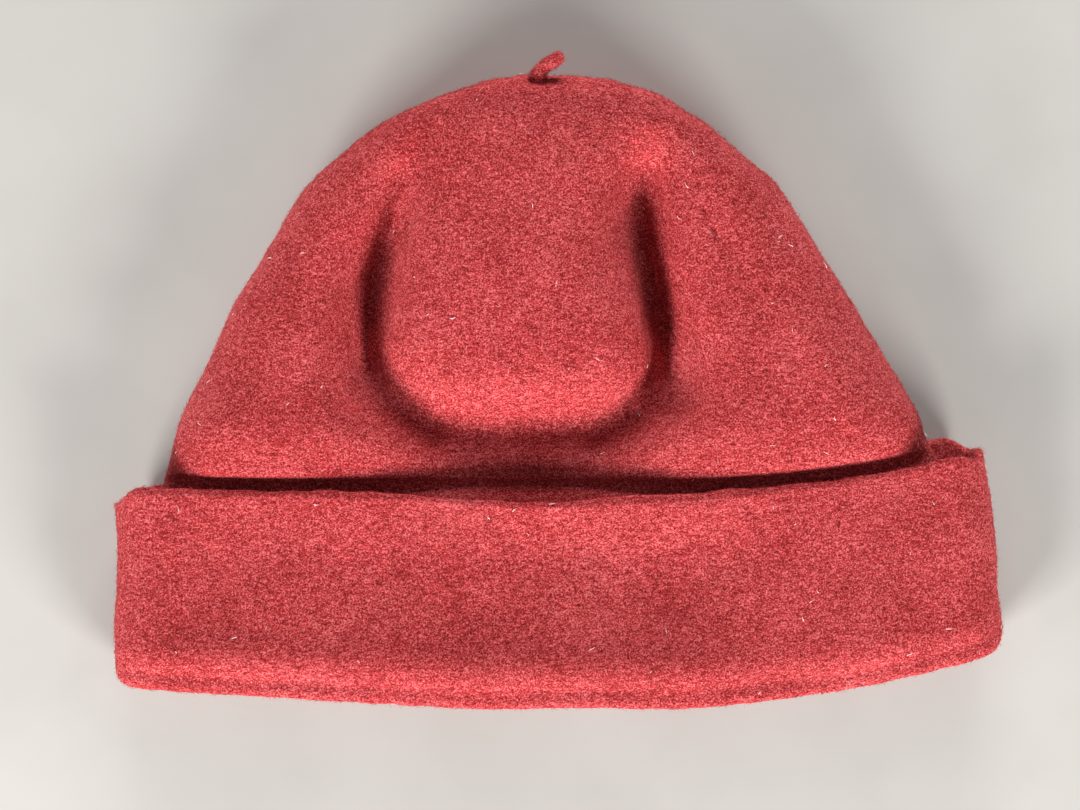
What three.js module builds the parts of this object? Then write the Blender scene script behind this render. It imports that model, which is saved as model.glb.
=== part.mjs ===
// Soft felt cap with a turned-up cuff, lying on its back layer, with a short felt stalk at the crown.
// Millimetres. X runs across the cuff, Y from the mouth to the crown, Z up from the table.

import * as THREE from 'three';

// Driving sizes
const foldWidth = 288.2;
const crownLength = 196.5;
const cuffHeight = 60.9;
const foldHeight = 24;
const crownHeight = 36;
const feltWall = 2.8;
const cuffGap = 1.2;
const foldNose = 3.1;
const foldDrop = 2.6;
const foldSwell = 1.0;
const sideSag = 3.0;
const midSag = 3.2;
const endFlare = 1.4;
const midFlare = 0.6;
const stalkLength = 11.5;
const stalkWidth = 4.8;
const seatGap = 0.3;

const halfWidth = foldWidth / 2;
const foldSide = foldHeight / 2;
const doubled = feltWall + cuffGap;
const feltRed = 0xc23a40;

// Crown sections from the folded mouth (share 0) to the crown's end (share 1).
// along: share of crownLength. half, lean, shoulder: shares of halfWidth.
// side, lobe, panel: heights of the side edge, the outer lobes and the middle panel, shares of crownHeight.
const crownColumns = ['along', 'half', 'lean', 'shoulder', 'side', 'lobe', 'panel'];
const crownRows = [
  [0.000, 0.972, 0.003, 0.085, 0.333, 0.556, 0.556],
  [0.157, 0.935, -0.007, 0.105, 0.333, 0.556, 0.556],
  [0.314, 0.876, -0.020, 0.140, 0.306, 0.556, 0.550],
  [0.347, 0.857, -0.026, 0.155, 0.292, 0.680, 0.600],
  [0.421, 0.829, -0.028, 0.180, 0.264, 0.805, 0.700],
  [0.520, 0.776, -0.025, 0.205, 0.250, 0.825, 0.860],
  [0.618, 0.707, -0.033, 0.220, 0.250, 0.840, 0.945],
  [0.717, 0.622, -0.036, 0.200, 0.250, 0.860, 0.990],
  [0.816, 0.538, -0.039, 0.190, 0.250, 0.890, 1.000],
  [0.866, 0.466, -0.041, 0.185, 0.256, 0.910, 0.985],
  [0.915, 0.384, -0.036, 0.175, 0.270, 0.905, 0.950],
  [0.940, 0.325, -0.030, 0.165, 0.281, 0.880, 0.905],
  [0.964, 0.265, -0.019, 0.165, 0.295, 0.815, 0.825],
  [0.988, 0.172, -0.007, 0.120, 0.320, 0.660, 0.660],
  [0.996, 0.110, -0.003, 0.070, 0.335, 0.530, 0.530],
  [1.000, 0.000, -0.001, 0.020, 0.347, 0.347, 0.347],
];

// Arms of the U-shaped crease in the front layer: share of crownLength, share of halfWidth
const leftArm = [
  [0.320, -0.300],
  [0.400, -0.375],
  [0.440, -0.415],
  [0.480, -0.438],
  [0.530, -0.446],
  [0.595, -0.438],
  [0.655, -0.424],
  [0.715, -0.402],
  [0.775, -0.368],
  [0.837, -0.340],
  [0.900, -0.320],
];
const rightArm = [
  [0.320, 0.170],
  [0.410, 0.218],
  [0.450, 0.248],
  [0.490, 0.261],
  [0.555, 0.252],
  [0.615, 0.228],
  [0.685, 0.202],
  [0.757, 0.183],
  [0.820, 0.180],
  [0.870, 0.193],
  [0.900, 0.206],
];

// The crease, in millimetres
const creaseFoot = 0.424 * crownLength;
const footBow = 3;
const creaseCorner = 24;
const creaseFloor = 17;
const leftCrease = { depth: 14.5, width: 9 };
const rightCrease = { depth: 17.5, width: 8.6 };
const footCrease = { depth: 3, width: 10 };
const panelRound = 14;
const creaseBlend = 12;
const pressDepth = 9.2;
const pressWidth = 50;

// The fold line's ends are drawn up towards the crown
const rightDraw = { from: 30, rise: 18.3, power: 1.8, left: 0.8 };
const leftDraw = { from: 30, rise: 7, power: 1.1, left: 0.28 };

// The stalk's root across the crown, and its lean
const stalkRoot = -7;
const stalkLean = new THREE.Vector3(0.72, 0.62, 0.18);

// Mesh steps
const stalkSides = 14;
const stalkSteps = 7;
const shoulderSteps = 3;
const frontSteps = 44;
const undersideSteps = 2;
const backSteps = 7;
const crownRings = 30;
const liningShort = 3;
const cuffRings = 5;
const foldInside = 2;
const foldOutside = 4;
const edgeRings = 3;

const quarter = Math.PI / 2;

function ease(value) {
  const t = Math.min(Math.max(value, 0), 1);
  return t * t * (3 - 2 * t);
}

function bell(distance, width) {
  return Math.exp(-((distance / width) ** 2));
}

function softMin(a, b, reach) {
  const t = Math.min(Math.max(0.5 + (0.5 * (b - a)) / reach, 0), 1);
  return b * (1 - t) + a * t - reach * t * (1 - t);
}

// Smooth curve through evenly numbered rows
function curveThrough(rows, position) {
  const last = rows.length - 1;
  const i = Math.min(Math.floor(position * last), last - 1);
  const f = position * last - i;
  const before = rows[Math.max(i - 1, 0)];
  const from = rows[i];
  const to = rows[i + 1];
  const after = rows[Math.min(i + 2, last)];
  return from.map((value, k) => {
    const slope = to[k] - before[k];
    const bend = 2 * before[k] - 5 * value + 4 * to[k] - after[k];
    const twist = 3 * value - before[k] - 3 * to[k] + after[k];
    return 0.5 * (2 * value + slope * f + bend * f * f + twist * f * f * f);
  });
}

function crownRow(position) {
  const values = curveThrough(crownRows, position);
  const row = {};
  crownColumns.forEach((name, k) => {
    row[name] = values[k];
  });
  return row;
}

// Eased look-up of a side value in a table of pairs
function lookUp(pairs, key) {
  let i = 0;
  while (i < pairs.length - 2 && key > pairs[i + 1][0]) {
    i += 1;
  }
  const slopeAt = (k) => {
    const lo = pairs[Math.max(k - 1, 0)];
    const hi = pairs[Math.min(k + 1, pairs.length - 1)];
    return (hi[1] - lo[1]) / (hi[0] - lo[0]);
  };
  const span = pairs[i + 1][0] - pairs[i][0];
  const f = Math.min(Math.max((key - pairs[i][0]) / span, 0), 1);
  const start = pairs[i][1] * (2 * f ** 3 - 3 * f ** 2 + 1);
  const end = pairs[i + 1][1] * (3 * f ** 2 - 2 * f ** 3);
  const leave = slopeAt(i) * span * (f ** 3 - 2 * f ** 2 + f);
  const arrive = slopeAt(i + 1) * span * (f ** 3 - f ** 2);
  return start + end + leave + arrive;
}

// How far a point of the fold line is drawn up, fading along the cuff
function drawUp(x, share, draw, side) {
  const reach = Math.max(side * x - draw.from, 0) / (halfWidth - draw.from);
  return draw.rise * reach ** draw.power * share;
}

function cuffDraw(x, up) {
  const right = drawUp(x, 1 - (1 - rightDraw.left) * up, rightDraw, 1);
  const left = drawUp(x, 1 - (1 - leftDraw.left) * up, leftDraw, -1);
  return right + left;
}

function bodyDraw(x, along) {
  const up = Math.min(along / 0.32, 1);
  const fade = 1 - ease((along - 0.32) / 0.27);
  return cuffDraw(x, up) * fade;
}

// Where the cuff's front hangs slack between its two taut ends
function slack(x) {
  return ease((x + 143) / 40) * (1 - ease((x - 45) / 50));
}

// How far both front layers sink between the fold and the cuff's free edge
function settled(x, up) {
  const sag = sideSag * slack(x) + midSag * bell(x - 20, 50);
  const valley = Math.sin((Math.PI * Math.min(up, 1)) / 1.2) ** 2 * (1 - ease((up - 1) / 0.12));
  return sag * valley + foldDrop * Math.max(1 - up / 0.13, 0) ** 2;
}

// Height of the front layer: two lobes, a puffed panel between them and the U-shaped crease round it
function frontHeight(across, row) {
  const { along } = row;
  const x = across + row.lean * halfWidth;
  const key = Math.min(Math.max(along, 0.32), 0.9);
  const fromLeft = x - lookUp(leftArm, key) * halfWidth;
  const fromRight = lookUp(rightArm, key) * halfWidth - x;
  const bow = footBow * Math.min(Math.max(1 - ((x + 8) / 50) ** 2, -1), 1);
  const fromFoot = along * crownLength - creaseFoot + bow;
  const inside = softMin(softMin(fromLeft, fromRight, creaseCorner), fromFoot, creaseCorner);

  const crestFade = ease((along - 0.66) / 0.26);
  const blend = creaseBlend + 45 * ease((along - 0.74) / 0.2);
  const onPanel = ease((inside + blend) / (2 * blend));
  const low = ease((0.60 - along) / 0.24) * ease((along - 0.292) / 0.062);
  const pressed = pressDepth * bell(x + 8, pressWidth) * low;
  const lobe = row.lobe * crownHeight - pressed - settled(x, (along * crownLength) / cuffHeight);
  const crest = row.panel * crownHeight;
  const puff = 1 - Math.exp(-Math.max(inside, 0) / panelRound) * (1 - crestFade);
  const panel = Math.min(creaseFloor, crest) + Math.max(crest - creaseFloor, 0) * puff;

  const toRight = ease((x + 20) / 40);
  const arm = 1 - ease((0.54 - along) / 0.18);
  const leftDepth = leftCrease.depth * ease((0.97 - along) / 0.32) * (1 - toRight);
  const rightDepth = rightCrease.depth * ease((0.92 - along) / 0.17) * toRight;
  const depth = (leftDepth + rightDepth) * arm + footCrease.depth * (1 - arm);
  const armWidth = leftCrease.width * (1 - toRight) + rightCrease.width * toRight;
  const width = armWidth * arm + footCrease.width * (1 - arm);
  const crease = depth * bell(inside, width) * ease((along - 0.33) / 0.05);
  return lobe + (panel - lobe) * onPanel - crease;
}

// The back layer steps down off the folded-under cuff and lifts again at the crown's end
function backHeight(along, side) {
  const step = doubled * (1 - ease((along - 0.365) / 0.08));
  return Math.min(step, side) + (side - step) * ease((along - 0.945) / 0.055) ** 1.5;
}

// One closed loop round the hat: right side, over the front, left side, back along the underside
function loop(reach, shoulder, side, front, low) {
  const points = [];
  const round = Math.min(shoulder, reach * 0.5);
  const under = Math.min(side - low, reach * 0.4);
  const overTop = (x, share) => points.push([x, side + (front(x) - side) * share ** 0.9]);
  const below = (x, share) => points.push([x, side - (side - low) * share]);
  for (let i = 0; i <= shoulderSteps; i += 1) {
    const angle = (i / shoulderSteps) * quarter;
    overTop(reach - round * (1 - Math.cos(angle)), Math.sin(angle));
  }
  for (let i = 1; i < frontSteps; i += 1) {
    overTop((reach - round) * (1 - (2 * i) / frontSteps), 1);
  }
  for (let i = shoulderSteps; i >= 0; i -= 1) {
    const angle = (i / shoulderSteps) * quarter;
    overTop(-reach + round * (1 - Math.cos(angle)), Math.sin(angle));
  }
  for (let i = 1; i <= undersideSteps; i += 1) {
    const angle = (i / undersideSteps) * quarter;
    below(-reach + under * (1 - Math.cos(angle)), Math.sin(angle));
  }
  for (let i = 1; i < backSteps; i += 1) {
    below((reach - under) * ((2 * i) / backSteps - 1), 1);
  }
  for (let i = undersideSteps; i >= 1; i -= 1) {
    const angle = (i / undersideSteps) * quarter;
    below(reach - under * (1 - Math.cos(angle)), Math.sin(angle));
  }
  return points;
}

function bodyRing(position) {
  const row = crownRow(position);
  const side = row.side * crownHeight;
  const front = (x) => frontHeight(x, row);
  const low = backHeight(row.along, side);
  const outline = loop(row.half * halfWidth, row.shoulder * halfWidth, side, front, low);
  return outline.map(([x, z]) => {
    const y = row.along * crownLength + bodyDraw(x, row.along);
    return new THREE.Vector3(x + row.lean * halfWidth, y, z);
  });
}

// The cuff's face towards the body
function cuffRing(up) {
  const reach = halfWidth - feltWall;
  const bend = Math.max((up - 0.6) / 0.4, 0) ** 2;
  const front = (x) => {
    const flare = (endFlare + midFlare * slack(x)) * bend;
    const swell = foldSwell * slack(x) * bell(up - 0.11, 0.09);
    return foldHeight - feltWall + flare + swell - settled(x, up);
  };
  const outline = loop(reach, 13, foldSide, front, feltWall);
  return outline.map(([x, z]) => {
    const isFront = ease((z - foldSide) / (foldSide - feltWall));
    const dip = 2.3 * bell(x + 7, 28) * isFront;
    const corner = 5.5 * bell(reach - Math.abs(x), 4.5);
    const backRise = 5 * ease((x - 60) / 50) * (1 - isFront);
    const height = up * (cuffHeight - dip - corner + backRise);
    const leanIn = 6.5 * up * Math.max(x / reach, 0) ** 3;
    return new THREE.Vector3(x - leanIn, height + cuffDraw(x, up), z);
  });
}

// Rings moved along their own outward normals
function offsetRings(rings, distance) {
  const count = rings[0].length;
  return rings.map((ring, r) => ring.map((point, i) => {
    const next = rings[Math.min(r + 1, rings.length - 1)][i];
    const before = rings[Math.max(r - 1, 0)][i];
    const alongway = new THREE.Vector3().subVectors(next, before);
    const around = new THREE.Vector3().subVectors(ring[(i + 1) % count], ring[(i + count - 1) % count]);
    const normal = alongway.cross(around).normalize();
    return point.clone().addScaledVector(normal, distance);
  }));
}

// Half-round turn between two rings, bulging along the given direction
function turn(fromRing, toRing, steps, direction, bulge) {
  const rings = [];
  for (let k = 1; k <= steps; k += 1) {
    const angle = (k / (steps + 1)) * Math.PI;
    rings.push(fromRing.map((from, i) => {
      const middle = from.clone().add(toRing[i]).multiplyScalar(0.5);
      const out = middle.clone().sub(from);
      middle.addScaledVector(out, -Math.cos(angle));
      return middle.addScaledVector(direction, bulge * Math.sin(angle));
    }));
  }
  return rings;
}

// Triangles between rings that start at one pole and end at another; each quad is split along its
// shorter diagonal, so the edges follow the creases
function closedSkin(startPole, rings, endPole) {
  const count = rings[0].length;
  const vertices = [startPole, ...rings.flat(), endPole];
  const faces = [];
  const at = (r, i) => 1 + r * count + (i % count);
  const gap = (a, b) => vertices[a].distanceTo(vertices[b]);
  for (let i = 0; i < count; i += 1) {
    faces.push([0, at(0, i), at(0, i + 1)]);
    faces.push([vertices.length - 1, at(rings.length - 1, i + 1), at(rings.length - 1, i)]);
    for (let r = 0; r < rings.length - 1; r += 1) {
      const [a, b, c, d] = [at(r, i), at(r + 1, i), at(r + 1, i + 1), at(r, i + 1)];
      if (gap(a, c) < gap(b, d)) {
        faces.push([a, b, c], [a, c, d]);
      } else {
        faces.push([a, b, d], [b, c, d]);
      }
    }
  }
  return { vertices, faces };
}

function enclosedVolume({ vertices, faces }) {
  const cross = new THREE.Vector3();
  return faces.reduce((sum, [a, b, c]) => {
    cross.crossVectors(vertices[b], vertices[c]);
    return sum + vertices[a].dot(cross) / 6;
  }, 0);
}

function meshFrom(name, skin, colour, roughness) {
  const outward = enclosedVolume(skin) > 0;
  const order = skin.faces.map(([a, b, c]) => (outward ? [a, b, c] : [a, c, b]));
  const geometry = new THREE.BufferGeometry();
  const positions = skin.vertices.flatMap((point) => point.toArray());
  geometry.setAttribute('position', new THREE.Float32BufferAttribute(positions, 3));
  geometry.setIndex(order.flat());
  geometry.computeVertexNormals();
  const material = new THREE.MeshStandardMaterial({ color: colour, roughness, metalness: 0 });
  material.name = `${name}_material`;
  const mesh = new THREE.Mesh(geometry, material);
  mesh.name = name;
  return mesh;
}

// The felt runs from the crown's end down the body, round the fold and up the cuff, then back
function feltCap() {
  const body = [];
  for (let k = 0; k < crownRings; k += 1) {
    body.push(bodyRing(k / crownRings));
  }
  const cuff = [];
  for (let k = 0; k <= cuffRings; k += 1) {
    cuff.push(cuffRing(k / cuffRings));
  }
  const lining = offsetRings(body, -feltWall).slice(0, -liningShort);
  const showing = offsetRings(cuff, feltWall);
  const down = new THREE.Vector3(0, -1, 0);
  const up = new THREE.Vector3(0, 1, 0);
  const innerTurn = turn(body[0], cuff[0], foldInside, down, cuffGap / 2 + foldNose);
  const outerTurn = turn(showing[0], lining[0], foldOutside, down, cuffGap / 2 + feltWall + foldNose);
  const edgeTurn = turn(cuff[cuffRings], showing[cuffRings], edgeRings, up, feltWall / 2);
  const rings = [
    ...[...body].reverse(),
    ...innerTurn,
    ...cuff,
    ...edgeTurn,
    ...[...showing].reverse(),
    ...outerTurn,
    ...lining,
  ];
  const tip = crownRow(1);
  const outerPole = new THREE.Vector3(tip.lean * halfWidth, crownLength, tip.side * crownHeight);
  const innerPole = outerPole.clone().addScaledVector(up, -feltWall);
  return meshFrom('felt_cap', closedSkin(outerPole, rings, innerPole), feltRed, 0.95);
}

// Short tapered stalk seated at the crown's end, bending to the right
function stalk() {
  const surface = (position) => {
    const row = crownRow(position);
    return new THREE.Vector3(stalkRoot, row.along * crownLength, frontHeight(stalkRoot, row));
  };
  const uphill = surface(0.866).sub(surface(0.834));
  const normal = new THREE.Vector3(1, 0, 0).cross(uphill).normalize();
  const base = surface(0.85).addScaledVector(normal, seatGap);
  const knee = base.clone().addScaledVector(normal, 0.4 * stalkLength);
  const tip = base.clone().addScaledVector(stalkLean, stalkLength);
  const axis = new THREE.QuadraticBezierCurve3(base, knee, tip);
  const zUp = new THREE.Vector3(0, 0, 1);
  const rings = [];
  for (let k = 0; k <= stalkSteps; k += 1) {
    const share = k / stalkSteps;
    const centre = axis.getPoint(share);
    const along = axis.getTangent(share);
    const wide = along.clone().cross(zUp).normalize();
    const deep = wide.clone().cross(along);
    const swell = 1.25 - 0.45 * ease(share * 1.8) + 0.12 * share;
    const radius = (stalkWidth / 2) * swell * (k === stalkSteps ? 0.6 : 1);
    const ring = [];
    for (let i = 0; i < stalkSides; i += 1) {
      const angle = (i / stalkSides) * 2 * Math.PI;
      const rim = centre.clone().addScaledVector(wide, radius * Math.cos(angle));
      ring.push(rim.addScaledVector(deep, radius * Math.sin(angle)));
    }
    rings.push(ring);
  }
  const end = tip.clone().addScaledVector(axis.getTangent(1), 0.2 * stalkWidth);
  return meshFrom('stalk', closedSkin(base, rings, end), feltRed, 0.95);
}

const hat = new THREE.Group();
hat.name = 'felt_cap_with_cuff';
hat.add(feltCap());
hat.add(stalk());

// Origin at the middle of the underside of the whole hat
const box = new THREE.Box3().setFromObject(hat);
const centre = box.getCenter(new THREE.Vector3());
hat.children.forEach((mesh) => {
  mesh.geometry.translate(-centre.x, -centre.y, -box.min.z);
});

export default hat;
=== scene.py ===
"""Soft felt cap with a turned-up cuff and a short felt stalk, lying on a pale floor."""

import logging
import math
from dataclasses import dataclass, field
from enum import Enum

import bpy
import numpy as np
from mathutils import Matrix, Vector


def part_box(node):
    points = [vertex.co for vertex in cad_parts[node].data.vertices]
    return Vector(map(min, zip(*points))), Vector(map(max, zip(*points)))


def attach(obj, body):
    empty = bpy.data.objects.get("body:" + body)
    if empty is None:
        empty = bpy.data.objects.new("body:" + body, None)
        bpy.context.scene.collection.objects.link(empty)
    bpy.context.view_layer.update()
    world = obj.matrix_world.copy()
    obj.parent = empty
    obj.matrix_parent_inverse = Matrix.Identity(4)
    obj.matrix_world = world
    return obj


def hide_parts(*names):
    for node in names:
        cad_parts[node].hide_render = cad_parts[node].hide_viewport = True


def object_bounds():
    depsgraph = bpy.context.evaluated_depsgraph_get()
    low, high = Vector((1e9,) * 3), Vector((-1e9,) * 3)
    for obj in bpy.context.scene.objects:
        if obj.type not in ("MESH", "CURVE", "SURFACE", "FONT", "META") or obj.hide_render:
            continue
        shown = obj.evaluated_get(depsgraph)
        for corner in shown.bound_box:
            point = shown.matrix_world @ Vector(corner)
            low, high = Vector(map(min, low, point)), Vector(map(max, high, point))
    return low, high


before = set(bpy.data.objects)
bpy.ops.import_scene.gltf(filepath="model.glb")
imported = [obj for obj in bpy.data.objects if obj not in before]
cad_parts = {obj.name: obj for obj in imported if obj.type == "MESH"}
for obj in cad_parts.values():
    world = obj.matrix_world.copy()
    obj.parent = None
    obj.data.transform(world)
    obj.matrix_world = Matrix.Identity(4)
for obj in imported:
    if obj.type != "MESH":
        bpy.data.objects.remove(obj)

LOG = logging.getLogger("felt_cap")
MM = 0.001
CAD_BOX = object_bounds()


class Slot(Enum):
    """Material slots of the record."""

    CAP = "wool_felt"
    STALK = "stalk_felt"


class Layer(Enum):
    """Stretches of the felt, in the order in which it is followed from the crown's end."""

    CROWN = 0
    FOLD_INSIDE = 1
    CUFF_BACK = 2
    FREE_EDGE = 3
    CUFF_FACE = 4
    FOLD_OUTSIDE = 5
    LINING = 6


def ease(value: np.ndarray) -> np.ndarray:
    """Eased step from 0 to 1."""
    t = np.clip(value, 0.0, 1.0)
    return t * t * (3.0 - 2.0 * t)


def bell(distance: np.ndarray, width: float) -> np.ndarray:
    """Rounded bump of the given half-width, 1 at its middle."""
    return np.exp(-((distance / width) ** 2))


def soft_min(a: np.ndarray, b: np.ndarray, reach: float) -> np.ndarray:
    """Smaller of two distances, blended where they are close."""
    t = np.clip(0.5 + 0.5 * (b - a) / reach, 0.0, 1.0)
    return b * (1.0 - t) + a * t - reach * t * (1.0 - t)


def look_up(pairs: list[tuple[float, float]], key: np.ndarray) -> np.ndarray:
    """Eased value between the rows of a short table.

    Args:
        pairs: key and value of each row, in rising order of the key.
        key: where to read the table.

    Returns:
        One value for each key.
    """
    keys, values = np.array(pairs).T
    slopes = np.empty_like(values)
    slopes[1:-1] = (values[2:] - values[:-2]) / (keys[2:] - keys[:-2])
    slopes[0] = (values[1] - values[0]) / (keys[1] - keys[0])
    slopes[-1] = (values[-1] - values[-2]) / (keys[-1] - keys[-2])
    i = np.clip(np.searchsorted(keys, key, side="right") - 1, 0, len(keys) - 2)
    span = keys[i + 1] - keys[i]
    f = np.clip((key - keys[i]) / span, 0.0, 1.0)
    start = values[i] * (2 * f**3 - 3 * f**2 + 1)
    end = values[i + 1] * (3 * f**2 - 2 * f**3)
    leave = slopes[i] * span * (f**3 - 2 * f**2 + f)
    arrive = slopes[i + 1] * span * (f**3 - f**2)
    return start + end + leave + arrive


def curve_through(rows: np.ndarray, position: np.ndarray) -> np.ndarray:
    """Smooth curve through evenly numbered rows.

    Args:
        rows: one row per point of the curve.
        position: places along the rows, from 0 to 1.

    Returns:
        One row of values per position.
    """
    last = len(rows) - 1
    place = position * last
    i = np.clip(np.floor(place).astype(int), 0, last - 1)
    f = (place - i)[:, None]
    before, start = rows[np.maximum(i - 1, 0)], rows[i]
    end, after = rows[i + 1], rows[np.minimum(i + 2, last)]
    slope = end - before
    bend = 2 * before - 5 * start + 4 * end - after
    twist = 3 * start - before - 3 * end + after
    return 0.5 * (2 * start + slope * f + bend * f * f + twist * f**3)


def ripple(points: np.ndarray, wavelength: float, seed: int, waves: int = 22) -> np.ndarray:
    """Smooth uneven field made of seeded waves.

    Args:
        points: places in millimetres, shape (..., 3).
        wavelength: typical distance between crests, in millimetres.
        seed: seed of the waves.
        waves: how many waves are added.

    Returns:
        Values of about -1 to 1, one per point.
    """
    rng = np.random.default_rng(seed)
    total = np.zeros(points.shape[:-1])
    for _ in range(waves):
        direction = rng.normal(size=3)
        direction *= rng.uniform(0.7, 1.4) / (np.linalg.norm(direction) * wavelength)
        total += np.cos(2 * math.pi * (points @ direction) + rng.uniform(0, 2 * math.pi))
    return total / math.sqrt(waves)


@dataclass(frozen=True)
class Crease:
    """One stretch of the crease: its depth and half-width in millimetres."""

    depth: float
    width: float


@dataclass(frozen=True)
class Draw:
    """How one end of the fold line is drawn up, in millimetres."""

    start: float
    rise: float
    power: float
    left: float


@dataclass(frozen=True)
class Steps:
    """How finely the felt is divided round the hat and along its path."""

    shoulder: int = 14
    front: int = 196
    underside: int = 8
    back: int = 44
    crown: int = 150
    cuff_back: int = 14
    cuff_face: int = 52
    lining: int = 44
    lining_short: int = 5
    fold_inside: int = 3
    fold_outside: int = 12
    free_edge: int = 7


CROWN_COLUMNS = ("along", "half", "lean", "shoulder", "side", "lobe", "panel")
CROWN_ROWS = np.array([
    (0.000, 0.972, 0.003, 0.085, 0.333, 0.556, 0.556),
    (0.157, 0.935, -0.007, 0.105, 0.333, 0.556, 0.556),
    (0.314, 0.876, -0.020, 0.140, 0.306, 0.556, 0.550),
    (0.347, 0.857, -0.026, 0.155, 0.292, 0.680, 0.600),
    (0.421, 0.829, -0.028, 0.180, 0.264, 0.805, 0.700),
    (0.520, 0.776, -0.025, 0.205, 0.250, 0.825, 0.860),
    (0.618, 0.707, -0.033, 0.220, 0.250, 0.840, 0.945),
    (0.717, 0.622, -0.036, 0.200, 0.250, 0.860, 0.990),
    (0.816, 0.538, -0.039, 0.190, 0.250, 0.890, 1.000),
    (0.866, 0.466, -0.041, 0.185, 0.256, 0.910, 0.985),
    (0.915, 0.384, -0.036, 0.175, 0.270, 0.905, 0.950),
    (0.940, 0.325, -0.030, 0.165, 0.281, 0.880, 0.905),
    (0.964, 0.265, -0.019, 0.165, 0.295, 0.815, 0.825),
    (0.988, 0.172, -0.007, 0.120, 0.320, 0.660, 0.660),
    (0.996, 0.110, -0.003, 0.070, 0.335, 0.530, 0.530),
    (1.000, 0.000, -0.001, 0.020, 0.347, 0.347, 0.347),
])
LEFT_ARM = [
    (0.320, -0.300), (0.400, -0.375), (0.440, -0.415), (0.480, -0.438),
    (0.530, -0.446), (0.595, -0.438), (0.655, -0.424), (0.715, -0.402),
    (0.775, -0.368), (0.837, -0.340), (0.900, -0.320),
]
RIGHT_ARM = [
    (0.320, 0.170), (0.410, 0.218), (0.450, 0.248), (0.490, 0.261),
    (0.555, 0.252), (0.615, 0.228), (0.685, 0.202), (0.757, 0.183),
    (0.820, 0.180), (0.870, 0.193), (0.900, 0.206),
]


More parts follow.
